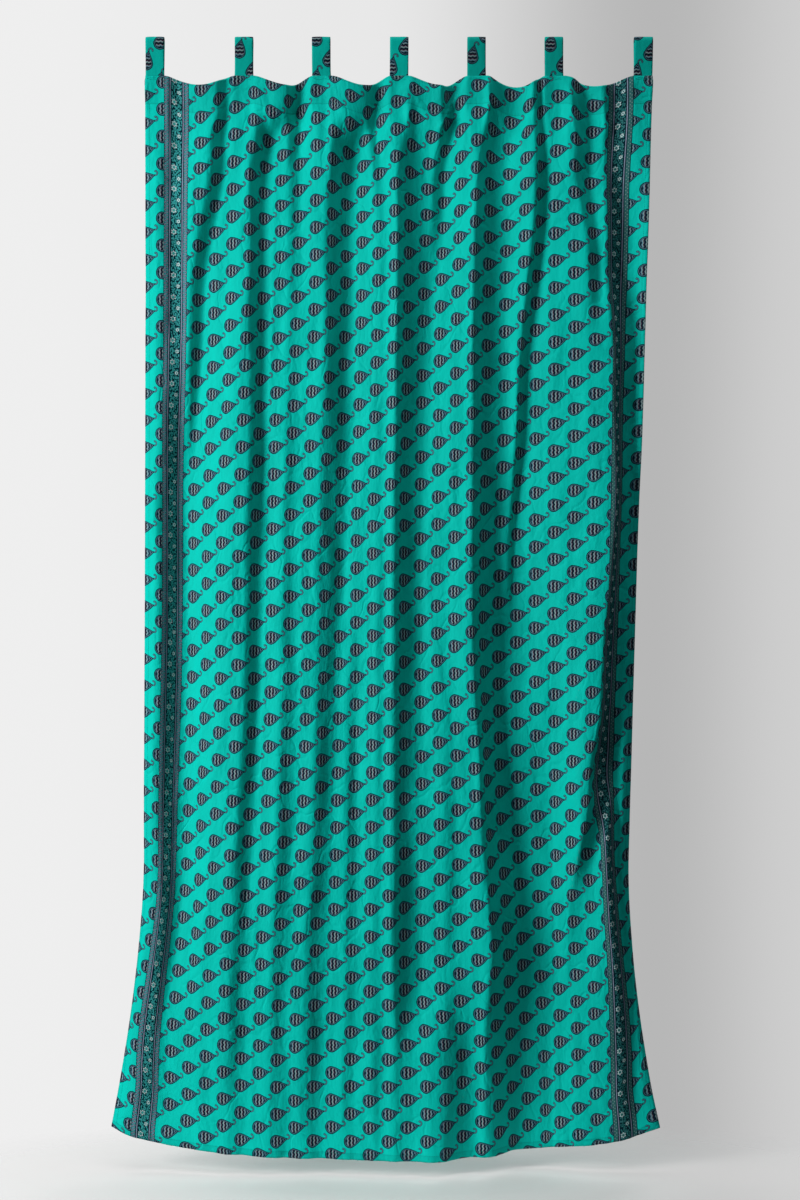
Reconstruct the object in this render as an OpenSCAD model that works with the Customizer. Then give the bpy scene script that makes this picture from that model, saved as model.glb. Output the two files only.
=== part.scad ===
// Tab-top curtain panel: one printed cloth hung from seven sewn loops.
// Millimetres. The origin is on the pole's axis, midway between the end tabs.
// +X runs along the pole, +Z is up, and the printed face looks towards -Y.
// Places on the cloth laid flat are u, from its left edge, and v, down from its top edge.

/* [Cloth] */
// Width of the cloth laid flat
cloth_w = 1200; // [1140:10:1240]
// Length of the panel laid flat, from its top edge to its bottom edge
cloth_l = 2170; // [1900:10:2300]
// Thickness of the cloth, with the air in its weave
cloth_t = 0.6; // [0.4:0.1:0.8]
// Depth of the folds below the heading
fold_d = 50; // [30:1:60]

/* [Heading] */
// Depth of the facing sewn behind the top edge
heading_h = 37; // [30:1:60]
// How far the top edge sags between two tabs
scallop = 23; // [0:1:35]
// Length over which that sag fades out down the cloth
scallop_fade = 420; // [300:10:600]

/* [Tabs] */
// Diameter of the pole that the tabs hang on
pole_d = 18; // [14:1:24]
// Width of each tab
tab_w = 38; // [30:1:44]
// Thickness of a tab, which is a flattened tube of cloth
tab_t = 1.2; // [0.8:0.1:1.6]
// From the pole's axis down to the panel's top edge
tab_drop = 68; // [60:1:90]
// Length of a tab's ends that is sewn in between the panel and its facing
tab_tail = 14; // [8:1:20]
// Spacing of the middle tabs along the pole
hung_pitch = 155; // [140:1:160]
// Extra spacing of each end tab, which pulls the cloth taut
end_pull = 23; // [0:1:24]

/* [Hems] */
// Width of the side hems
side_hem_w = 10; // [6:1:14]
// Depth of the bottom hem
bottom_hem_h = 14; // [10:1:24]
// Thickness of the two layers that a hem turns back
hem_t = 0.9; // [0.6:0.1:1.2]

/* [Hang] */
// How much narrower the right edge hangs above the flare
right_draw_in = 44; // [0:1:60]
// How much narrower the left edge hangs above the flare
left_spread = 8; // [0:1:20]
// How far each side flares out at the bottom
flare = 65; // [0:1:80]
// How far the bottom corners are pulled up by the side hems
corner_rise = 56; // [0:1:70]
// How far the bottom corners hang back
corner_back = 45; // [0:1:60]

/* [Thread] */
// Width of a row of stitches
thread_w = 0.8; // [0.5:0.1:1.2]
// How far the thread stands from the cloth
thread_t = 0.3; // [0.2:0.1:0.5]

/* [Hidden] */

print_colour = [0.02, 0.62, 0.55];
tab_colour = [0.03, 0.52, 0.47];
back_colour = [0.2, 0.6, 0.55];
thread_colour = [0.05, 0.35, 0.33];

last_tab = 6;
tab_pitch = (cloth_w - tab_w) / last_tab;
pole_r = pole_d / 2;
seam_gap = 0.3;
layer_gap = 0.2;
thread_gap = 0.35;
face_y = -(tab_t + seam_gap + cloth_t);
facing_back = 2 * (tab_t + seam_gap) + cloth_t;
flare_from = 0.74 * cloth_l;
edge_x = (last_tab / 2) * hung_pitch + end_pull + tab_w / 2;
heading_stitch_inset = 3;
hem_stitch_inset = 1.5;
tack_inset = 7;
tack_w = 30;
row_count = 12;

function smooth(t) =
    let (c = min(1, max(0, t)))
    c * c * (3 - 2 * c);
function mix(a, b, t) = a + (b - a) * t;

// Where tab k sits: along the pole, and on the cloth laid flat.
function tab_x(k) =
    (k - last_tab / 2) * hung_pitch + (k == 0 ? -end_pull : k == last_tab ? end_pull : 0);
function tab_u(k) = tab_w / 2 + k * tab_pitch;

// The nearest tab to a flat place, and how far through the bay beside it the place is, from 0 at
// the tab's edge to 1 at the middle of the bay.
function nearest(u) = min(last_tab, max(0, round((u - tab_w / 2) / tab_pitch)));
function bay_share(u) = max(0, abs(u - tab_u(nearest(u))) - tab_w / 2) / ((tab_pitch - tab_w) / 2);

// Across the heading, cloth is flat behind each tab and evenly gathered between two.
function heading_x(u) =
    let (k = nearest(u))
    let (off = u - tab_u(k))
    let (beside = min(last_tab, max(0, k + sign(off))))
    let (flat = min(abs(off), tab_w / 2))
    let (gap = abs(tab_x(beside) - tab_x(k)) - tab_w)
    tab_x(k) + sign(off) * (flat + bay_share(u) * gap / 2);

function spread(v) = flare * pow(max(0, (v - flare_from) / (cloth_l - flare_from)), 1.6);
function left_x(v) = -edge_x - left_spread * v / flare_from - spread(v);
function right_x(v) = edge_x - right_draw_in * min(1.3, v / flare_from) + 1.2 * spread(v);

function wave(u) = (1 - cos(360 * (u - tab_w / 2) / tab_pitch)) / 2;
function heading_wave(u) = (1 - cos(180 * bay_share(u))) / 2;

// The place in space of the flat place (u, v) on the panel's printed face.
function drape(u, v) =
    let (below = smooth((v - heading_h) / 300))
    let (side = 2 * u / cloth_w - 1)
    let (down = v / cloth_l)
    let (x = mix(heading_x(u), mix(left_x(v), right_x(v), u / cloth_w), below))
    let (depth = mix(fold_d * 0.85, fold_d, below) * (1 - 0.4 * smooth(down * 2 - 1)))
    let (fold = depth * mix(heading_wave(u), wave(u), below))
    let (set_back = corner_back * pow(abs(side), 6) * smooth(down * 2.5 - 1.5))
    let (sag = scallop * heading_wave(u) * (1 - smooth(v / scallop_fade)))
    let (rise = corner_rise * (0.6 * pow(side, 2) + 0.4 * pow(side, 10)) * pow(down, 1.5))
    [x, face_y + fold + set_back, -tab_drop - v - sag + rise];

// The flat places at which the hung cloth bends: columns at each tab's centre and edges and
// between them, and rows that crowd towards the heading and the hem.
gap_steps = 5;
columns = concat(
    [0, side_hem_w],
    [
        for (k = [0:last_tab])
        for (u = concat(
            k == 0 ? [] : [tab_u(k) - tab_w / 2],
            [tab_u(k)],
            k == last_tab ? [] : [
                for (i = [0:gap_steps - 1])
                tab_u(k) + tab_w / 2 + i * (tab_pitch - tab_w) / gap_steps
            ]
        ))
        u
    ],
    [cloth_w - side_hem_w, cloth_w]
);
hem_v = cloth_l - bottom_hem_h;
rows = concat(
    [0, heading_h],
    [for (i = [1:row_count - 1]) mix(heading_h, hem_v, (1 - cos(180 * i / row_count)) / 2)],
    [hem_v, cloth_l]
);

// The panel's facets, read at any flat place, so that every layer lies along them.
function cell(list, at) =
    min(len(list) - 2, max([for (i = [0:len(list) - 2]) list[i] <= at ? i : 0]));
function place(u, v) =
    let (i = cell(columns, u))
    let (j = cell(rows, v))
    let (s = (u - columns[i]) / (columns[i + 1] - columns[i]))
    let (t = (v - rows[j]) / (rows[j + 1] - rows[j]))
    mix(
        mix(drape(columns[i], rows[j]), drape(columns[i + 1], rows[j]), s),
        mix(drape(columns[i], rows[j + 1]), drape(columns[i + 1], rows[j + 1]), s),
        t
    );

function within(list, low, high) =
    concat([low], [for (a = list) if (a > low && a < high) a], [high]);
function halves(q) = [[q[0], q[1], q[2]], [q[0], q[2], q[3]]];

// A layer of cloth, thick, over flat places us by vs, at back behind the printed face.
module layer(us, vs, back, thick) {
    n = len(us);
    m = len(vs);
    face = [for (v = vs) for (u = us) place(u, v) + [0, back, 0]];
    rear = [for (p = face) p + [0, thick, 0]];
    // Facets on the face are a, b, c, d clockwise, and a point's rear one is r further on.
    r = n * m;
    front_quads = [
        for (j = [0:m - 2]) for (i = [0:n - 2])
        [j * n + i, j * n + i + 1, (j + 1) * n + i + 1, (j + 1) * n + i]
    ];
    top = [for (i = [0:n - 2]) [i, i + r, i + 1 + r, i + 1]];
    low = (m - 1) * n;
    bottom = [for (i = [low:low + n - 2]) [i, i + 1, i + 1 + r, i + r]];
    left = [for (j = [0:m - 2]) [j * n + r, j * n, (j + 1) * n, (j + 1) * n + r]];
    e = n - 1;
    right = [for (j = [0:m - 2]) [j * n + e, j * n + e + r, (j + 1) * n + e + r, (j + 1) * n + e]];
    front = [for (q = front_quads) for (f = halves(q)) f];
    polyhedron(
        points = concat(face, rear),
        faces = concat(
            front,
            [for (f = front) [f[2] + r, f[1] + r, f[0] + r]],
            [for (q = concat(top, bottom, left, right)) for (f = halves(q)) f]
        )
    );
}

// A row of stitches on the printed face, across the cloth at v or down it at u.
module stitches_across(v, from, to) {
    layer(
        within(columns, from, to), [v - thread_w / 2, v + thread_w / 2],
        -thread_gap - thread_t, thread_t
    );
}
module stitches_down(u, from, to) {
    layer(
        [u - thread_w / 2, u + thread_w / 2], within(rows, from, to),
        -thread_gap - thread_t, thread_t
    );
}

module panel() {
    color(print_colour) layer(columns, rows, 0, cloth_t);
}

module heading_facing() {
    color(back_colour) layer(columns, [0, heading_h], facing_back, cloth_t);
}

module bottom_hem() {
    color(back_colour) layer(columns, [hem_v, cloth_l], cloth_t + layer_gap, hem_t);
}

module side_hem(from) {
    color(back_colour)
        layer(
            [from, from + side_hem_w], within(rows, heading_h + 1, hem_v - 1),
            cloth_t + layer_gap, hem_t
        );
}

module heading_stitch(v) {
    color(thread_colour) stitches_across(v, hem_stitch_inset, cloth_w - hem_stitch_inset);
}

module bottom_hem_stitch() {
    color(thread_colour) stitches_across(hem_v + hem_stitch_inset, 2, cloth_w - 2);
}

module side_stitch(u) {
    color(thread_colour) stitches_down(u, heading_h + 1, hem_v - 1);
}

// A tab's loop seen along the pole: a round top, and two legs that meet above the tails.
module loop_outline(radius, point) {
    circle(r = radius, $fn = 96);
    touch = radius * radius / point;
    polygon([
        [-sqrt(radius * radius - touch * touch), -touch],
        [0, -point],
        [sqrt(radius * radius - touch * touch), -touch]
    ]);
}

module tab(k) {
    meet = tab_drop - 4;
    color(tab_colour)
        translate([tab_x(k) - tab_w / 2, 0, 0])
        rotate([90, 0, 90])
        linear_extrude(height = tab_w)
        difference() {
            union() {
                loop_outline(pole_r + tab_t, meet * (pole_r + tab_t) / pole_r);
                translate([-tab_t, -tab_drop - tab_tail]) square([2 * tab_t, tab_tail + 8]);
            }
            loop_outline(pole_r, meet);
        }
}

// The bar of stitches that holds tab k's tails between the panel and the facing.
module tab_tack(k) {
    color(thread_colour)
        translate([
            tab_x(k) - tack_w / 2,
            face_y - thread_gap - thread_t,
            -tab_drop - tack_inset - thread_w
        ])
        cube([tack_w, thread_t, 2 * thread_w]);
}

panel();
heading_facing();
bottom_hem();
side_hem(0);  // side_hem_left
side_hem(cloth_w - side_hem_w);  // side_hem_right
heading_stitch(heading_stitch_inset);  // heading_stitch_upper
heading_stitch(heading_h - hem_stitch_inset);  // heading_stitch_lower
bottom_hem_stitch();
side_stitch(side_hem_w - hem_stitch_inset);  // side_stitch_left
side_stitch(cloth_w - side_hem_w + hem_stitch_inset);  // side_stitch_right
for (k = [0:last_tab]) {
    tab(k);
    tab_tack(k);
}
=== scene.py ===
"""A tab-top curtain panel of printed cloth, hung by sewn loops.

Places on the cloth laid flat are u, across from its left edge, and v, down from its top edge.
Every length is in metres. The printed face looks towards -Y.
"""

import math

import bpy
import numpy as np
from bpy.props import FloatProperty, FloatVectorProperty, IntProperty, PointerProperty
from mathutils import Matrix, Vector, noise


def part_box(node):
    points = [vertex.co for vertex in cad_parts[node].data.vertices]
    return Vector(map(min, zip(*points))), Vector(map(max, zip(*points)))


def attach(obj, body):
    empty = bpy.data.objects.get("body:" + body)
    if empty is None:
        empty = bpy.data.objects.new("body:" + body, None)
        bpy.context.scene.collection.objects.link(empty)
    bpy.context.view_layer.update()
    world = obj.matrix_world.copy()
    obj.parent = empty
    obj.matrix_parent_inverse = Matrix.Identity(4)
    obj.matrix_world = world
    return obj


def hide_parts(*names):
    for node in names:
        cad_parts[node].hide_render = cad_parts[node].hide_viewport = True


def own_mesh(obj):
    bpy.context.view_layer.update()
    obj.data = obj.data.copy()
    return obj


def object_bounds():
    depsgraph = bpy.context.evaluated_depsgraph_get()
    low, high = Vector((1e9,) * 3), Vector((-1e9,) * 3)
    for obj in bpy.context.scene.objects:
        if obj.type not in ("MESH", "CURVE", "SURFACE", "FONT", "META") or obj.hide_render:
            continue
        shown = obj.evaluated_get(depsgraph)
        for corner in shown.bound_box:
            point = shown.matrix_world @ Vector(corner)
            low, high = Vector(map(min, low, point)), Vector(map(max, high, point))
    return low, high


bl_info = {
    "name": "Tab-top curtain",
    "version": (1, 0, 0),
    "blender": (4, 5, 0),
    "location": "View3D > Sidebar > Curtain",
    "description": "Hangs a printed curtain panel by its tabs, with its hems and stitching",
    "category": "Object",
}

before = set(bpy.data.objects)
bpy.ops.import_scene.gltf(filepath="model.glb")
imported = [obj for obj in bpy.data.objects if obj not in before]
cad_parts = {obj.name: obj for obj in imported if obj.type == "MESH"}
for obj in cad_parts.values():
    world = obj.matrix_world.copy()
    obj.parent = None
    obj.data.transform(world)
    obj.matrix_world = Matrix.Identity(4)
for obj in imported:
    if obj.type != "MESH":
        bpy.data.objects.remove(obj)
CAD_BOX = [list(map(float, corner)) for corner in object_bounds()]

TABS = 7
MM = 0.001


def middle(node):
    """The middle of a CAD node's box."""
    low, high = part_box(node)
    return (Vector(low) + Vector(high)) / 2


TAB_X = [middle(f"tab_{k + 1}").x for k in range(TABS)]
TAB_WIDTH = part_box("tab_1")[1][0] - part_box("tab_1")[0][0]
TAIL_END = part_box("tab_1")[0][2]
TOP_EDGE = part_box("panel")[1][2]
FACE_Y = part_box("panel")[0][1]
HEADING = TOP_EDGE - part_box("heading_facing")[0][2]
POLE_RADIUS = 9.0 * MM


# ---------------------------------------------------------------------------
# Settings


def length_setting(name, description, default):
    return FloatProperty(name=name, description=description, default=default, unit="LENGTH")


def share_setting(name, description, default, low=0.0, high=1.0):
    return FloatProperty(name=name, description=description, default=default, min=low, max=high)


def power_setting(name, description, default):
    return FloatProperty(name=name, description=description, default=default, min=0.0)


def colour_setting(name, description, red, green, blue):
    return FloatVectorProperty(
        name=name,
        description=description,
        subtype="COLOR",
        size=4,
        default=(red, green, blue, 1.0),
        min=0.0,
        max=1.0,
    )


class ClothSettings(bpy.types.PropertyGroup):
    width: length_setting("Width", "Width of the cloth laid flat", 1.2)
    length: length_setting("Length", "Length of the panel laid flat", 2.17)
    thickness: length_setting("Thickness", "Thickness of the cloth", 0.6 * MM)
    fullness: share_setting(
        "Fullness", "Share of the cloth's fullness that shows as folds", 0.82, 0.3, 1.1
    )
    scallop: length_setting("Scallop", "How far the top edge sags between two tabs", 21 * MM)
    flare: length_setting("Flare", "How far each side flares out at the hem", 0.065)
    corner_rise: length_setting("Corner rise", "How far the bottom corners are pulled up", 0.056)
    corner_back: length_setting("Corner set-back", "How far the bottom corners hang back", 0.040)
    wrinkles: share_setting("Wrinkles", "Depth of the small wrinkles", 1.3, 0.0, 3.0)


class PrintSettings(bpy.types.PropertyGroup):
    repeat_across: length_setting("Repeat across", "Spacing of the columns", 0.040)
    repeat_down: length_setting("Repeat down", "Spacing of the motifs in a column", 0.0547)
    drop: share_setting("Drop", "From each column down to the next, as a share of the repeat", 0.48)
    border_inset: length_setting("Border inset", "Margin outside each border", 0.038)
    border_width: length_setting("Border width", "Width of each border", 0.052)
    ground: colour_setting("Ground", "Colour of the cloth", 0.0, 0.60, 0.51)
    navy: colour_setting("Navy", "Darkest colour of the print", 0.0, 0.017, 0.030)
    mauve: colour_setting("Mauve", "Colour of the motifs' outlines", 0.095, 0.215, 0.300)
    maroon: colour_setting("Maroon", "Red stripes inside the motifs", 0.060, 0.008, 0.040)
    cream: colour_setting("Cream", "Light stripes inside the motifs", 0.25, 0.37, 0.39)


class SewingSettings(bpy.types.PropertyGroup):
    stitch_pitch: length_setting("Stitch pitch", "From one stitch to the next", 3.6 * MM)
    stitch_length: length_setting("Stitch length", "Length of thread that shows", 2.8 * MM)
    thread: length_setting("Thread", "Thickness of the thread", 0.6 * MM)
    side_hem: length_setting("Side hem", "Width of the side hems", 10 * MM)
    bottom_hem: length_setting("Bottom hem", "Depth of the bottom hem", 14 * MM)
    hem_thickness: length_setting("Hem thickness", "Thickness that a hem adds", 0.9 * MM)
    seed: IntProperty(name="Seed", description="Varies the stitches", default=4)


class StudioSettings(bpy.types.PropertyGroup):
    camera_distance: length_setting("Camera distance", "From the curtain to the camera", 4.0)
    focal_length: share_setting("Focal length", "In millimetres", 60.0, 10.0, 300.0)
    key_power: power_setting("Key light", "Power of the key light", 118.0)
    overhead_power: power_setting("Overhead light", "Power of the overhead light", 95.0)
    rear_power: power_setting("Rear light", "Power of the light behind the curtain", 60.0)
    fill: power_setting("Fill", "Strength of the light from all round", 0.075)
    backdrop: share_setting("Backdrop", "Brightness of the backdrop", 0.86)
    # Brightness of the painted shadow of the curtain on the backdrop.
    backdrop_right: share_setting(
        "Backdrop shade", "Brightness beside the curtain's right edge, as a share of the left", 0.55
    )


# ---------------------------------------------------------------------------
# The hang of the cloth


def smooth(t):
    """Eases from 0 to 1."""
    t = np.clip(t, 0.0, 1.0)
    return t * t * (3 - 2 * t)


def run_along(*coordinates):
    """The length of a line so far, at each of its points."""
    steps = np.sqrt(sum(np.diff(values) ** 2 for values in coordinates))
    return np.concatenate([[0.0], np.cumsum(steps)])


def through(stops, v):
    """A value that passes smoothly through (v, value) stops."""
    at = [s[0] for s in stops]
    values = [s[1] for s in stops]
    v = float(v)
    if v <= at[0]:
        return values[0]
    for (v0, a), (v1, b) in zip(stops, stops[1:]):
        if v <= v1:
            return a + (b - a) * float(smooth((v - v0) / (v1 - v0)))
    return values[-1]


# Where the cloth below each tab hangs at each height, as (v, x).
TAB_LINES = [
    [(0.04, -0.488), (1.0, -0.492), (1.6, -0.500), (2.05, -0.548), (2.17, -0.560)],
    [(0.04, -0.310), (0.25, -0.318), (1.03, -0.342), (2.1, -0.374)],
    [(0.04, -0.155), (0.25, -0.157), (1.03, -0.173), (2.1, -0.200)],
    [(0.04, 0.0), (0.25, -0.005), (1.03, -0.016), (2.1, -0.018)],
    [(0.04, 0.155), (0.6, 0.145), (1.03, 0.142), (1.6, 0.152), (2.1, 0.164)],
    [(0.04, 0.310), (0.25, 0.304), (1.03, 0.303), (2.1, 0.318)],
    [(0.04, 0.488), (0.25, 0.480), (1.0, 0.460), (1.55, 0.446), (2.05, 0.488), (2.17, 0.500)],
]

# How far forward the cloth stands below each tab, as (v, y).
TAB_DEPTHS = [
    [(0.05, 0.0), (0.5, 0.012), (1.2, 0.020), (2.17, 0.008)],
    [(0.05, 0.0), (0.4, -0.003), (1.2, -0.001), (2.17, 0.008)],
    [(0.05, 0.0), (0.4, -0.003), (1.4, -0.005), (2.17, 0.004)],
    [(0.05, 0.0), (0.4, -0.005), (1.4, -0.007), (2.17, 0.000)],
    [(0.05, 0.0), (0.4, -0.007), (1.4, -0.007), (1.78, -0.004), (2.00, 0.012), (2.17, 0.014)],
    [(0.05, 0.0), (0.4, 0.012), (1.2, 0.022), (1.6, 0.040), (2.0, 0.050), (2.17, 0.050)],
    [(0.05, 0.0), (0.5, 0.022), (1.2, 0.024), (1.7, 0.010), (2.17, 0.006)],
]

# How far the right-hand margin turns back from there, as (v, y).
RIGHT_TURN = [
    (0.05, 0.0), (0.3, -0.010), (0.70, -0.012), (1.0, 0.010), (1.6, 0.014), (1.9, 0.002), (2.17, -0.006)
]

# The furthest forward and back that the cloth hangs.
DEPTH_LIMITS = (-0.0205, 0.0560)

# Folds in each bay between two tabs. A fold steps back from the share of the bay where it starts
# to the share where it ends, and the cloth comes forward again over the rest of the bay. A crisp
# fold turns sharply where it starts, and a soft one eases in and out. Each stop is a height v with
# the start, the end and the weight.
FOLDS = [
    [
        ("soft", [(0.05, 0.00, 0.24, 0.5), (0.85, 0.00, 0.42, 0.7), (2.17, 0.05, 0.50, 0.9)]),
        ("soft", [(0.05, 0.72, 0.88, 0.9), (0.13, 0.62, 0.82, 1.0), (0.45, 0.40, 0.58, 0.6),
                  (0.90, 0.35, 0.50, 0.0)]),
        ("soft", [(0.60, 0.44, 0.80, 0.0), (1.00, 0.44, 0.80, -0.3), (2.17, 0.55, 0.85, -0.1)]),
    ],
    [
        ("soft", [(0.04, 0.25, 0.80, 0.6), (0.12, 0.10, 0.34, 0.4), (0.30, 0.10, 0.30, 0.1)]),
        ("soft", [(0.08, 0.04, 0.30, 0.2), (0.24, 0.10, 0.30, 0.7), (0.85, 0.20, 0.40, 0.7),
                  (1.25, 0.18, 0.38, 0.5), (1.60, 0.15, 0.36, 0.3), (2.17, 0.15, 0.40, 0.2)]),
        ("soft", [(0.05, 0.55, 0.75, 0.4), (0.50, 0.60, 0.80, 0.3), (1.40, 0.60, 0.85, 0.35),
                  (2.17, 0.60, 0.90, 0.3)]),
    ],
    [
        ("soft", [(0.04, 0.10, 0.86, 1.0), (0.14, 0.05, 0.44, 1.0), (0.35, 0.02, 0.42, 1.0),
                  (0.90, 0.02, 0.44, 1.0), (1.35, 0.00, 0.36, 0.8), (1.80, 0.00, 0.30, 0.7),
                  (2.17, 0.00, 0.28, 0.6)]),
        ("soft", [(0.05, 0.60, 0.75, 0.3), (0.35, 0.75, 0.90, 0.1), (1.20, 0.80, 0.92, 0.15),
                  (2.17, 0.80, 0.92, 0.2)]),
        ("soft", [(0.90, 0.46, 0.64, 0.0), (1.40, 0.44, 0.62, 0.25), (2.17, 0.44, 0.62, 0.3)]),
    ],
    [
        ("crisp", [(0.04, 0.04, 0.76, 1.0), (0.14, 0.01, 0.42, 1.0), (0.35, 0.02, 0.48, 1.0),
                   (0.80, 0.04, 0.42, 1.0), (1.20, 0.05, 0.40, 0.9), (1.60, 0.05, 0.36, 0.7),
                   (2.17, 0.05, 0.40, 0.5)]),
        ("soft", [(0.04, 0.55, 0.72, 0.8), (0.20, 0.42, 0.62, 0.5), (0.45, 0.40, 0.60, 0.0)]),
        ("soft", [(1.00, 0.60, 0.80, 0.0), (1.50, 0.60, 0.80, 0.3), (1.90, 0.60, 0.80, 0.1)]),
        ("soft", [(1.78, 0.50, 1.00, 0.0), (2.00, 0.42, 1.00, 1.4), (2.17, 0.38, 1.00, 1.4)]),
    ],
    [
        ("crisp", [(0.04, 0.06, 0.80, 1.0), (0.14, 0.01, 0.44, 1.0), (0.50, 0.01, 0.44, 1.1),
                   (1.10, 0.03, 0.44, 1.2), (1.40, 0.08, 0.48, 1.2), (1.75, 0.18, 0.78, 1.2),
                   (1.95, 0.06, 0.88, 1.0), (2.17, 0.00, 1.00, 0.6)]),
        ("soft", [(0.05, 0.80, 0.92, 0.3), (0.20, 0.78, 0.90, 0.5), (0.65, 0.58, 0.68, 0.5),
                  (0.95, 0.46, 0.56, 0.3), (1.20, 0.44, 0.54, 0.0)]),
        ("soft", [(1.55, 0.30, 1.00, 0.0), (1.92, 0.06, 0.90, 1.0), (2.17, 0.00, 0.90, 1.0)]),
    ],
    [
        ("soft", [(0.05, 0.10, 0.30, 1.2), (0.15, 0.22, 0.40, 1.2), (0.35, 0.40, 0.54, 0.7),
                  (0.55, 0.45, 0.60, 0.0)]),
        ("crisp", [(0.05, 0.58, 0.74, 0.8), (0.35, 0.64, 0.84, 1.2), (0.60, 0.74, 0.95, 1.1),
                   (0.85, 0.80, 1.00, 1.0), (1.25, 0.64, 0.94, 1.0), (1.45, 0.48, 0.80, 0.9),
                   (1.70, 0.20, 0.50, 0.6), (1.90, 0.15, 0.40, 0.0)]),
        ("soft", [(1.35, 0.80, 0.98, 0.0), (1.60, 0.76, 0.96, 1.0), (2.00, 0.74, 0.94, 1.0),
                  (2.17, 0.74, 0.92, 0.5)]),
    ],
]

# Share of each bay's spare cloth that its folds take up, as (v, share).
TAKE_UP = [
    [(0.0, 1.00), (0.6, 0.55), (2.17, 0.55)],
    [(0.1, 0.80), (0.3, 0.55), (1.2, 0.60), (2.17, 0.40)],
    [(0.1, 0.80), (0.4, 0.44), (1.2, 0.42), (2.17, 0.45)],
    [(0.1, 0.85), (0.4, 0.48), (1.2, 0.46), (1.8, 0.75), (2.17, 1.60)],
    [(0.1, 1.05), (1.2, 1.00), (1.8, 1.10), (2.17, 1.20)],
    [(0.1, 1.30), (0.5, 1.60), (1.2, 1.25), (2.17, 0.60)],
]

# Layers of small wrinkles: width, height, depth in millimetres and seed.
WRINKLES = [(0.085, 0.70, 4.4, 1.0), (0.045, 0.20, 3.2, 7.0), (0.026, 0.09, 1.6, 13.0)]

# Lines where the cloth was pressed when it was folded away: across at v, and down at (u, height).
PRESSED_ACROSS = [0.54, 1.085, 1.62]
PRESSED_DOWN = [(0.300, 1.2 * MM), (0.600, 3.2 * MM), (0.900, 1.6 * MM)]

# Short creases in the cloth: from (u, v) to (u, v), height.
PULLS = [
    ((0.75, 2.06), (0.80, 1.96), 2.4 * MM),
    ((0.86, 2.10), (0.93, 1.90), 2.0 * MM),
    ((0.24, 1.98), (0.30, 1.80), 1.4 * MM),
    ((0.60, 2.12), (0.69, 2.00), 1.6 * MM),
    ((0.40, 1.72), (0.46, 1.55), 1.2 * MM),
    ((0.98, 1.42), (1.06, 1.20), 2.0 * MM),
    ((0.17, 0.30), (0.20, 0.10), 2.6 * MM),
    ((0.425, 0.02), (0.430, 0.21), 5.0 * MM),
    ((0.612, 0.02), (0.620, 0.09), 6.0 * MM),
    ((0.745, 0.03), (0.688, 0.09), 8.0 * MM),
    ((0.815, 0.015), (0.828, 0.06), 6.5 * MM),
    ((0.925, 0.02), (0.905, 0.12), 6.0 * MM),
    ((1.018, 0.03), (1.034, 0.11), 7.5 * MM),
    ((1.095, 0.02), (1.105, 0.10), 5.5 * MM),
    ((0.88, 0.95), (0.93, 0.70), 1.6 * MM),
    ((0.52, 1.35), (0.56, 1.15), 1.2 * MM),
    ((1.00, 1.02), (1.08, 0.92), 1.8 * MM),
]

# The creases that fan out from both lower corners of a tab: how far out, how far down, height.
FAN = [(0.016, 0.17, 3.0 * MM), (0.050, 0.085, 2.6 * MM)]


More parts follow.
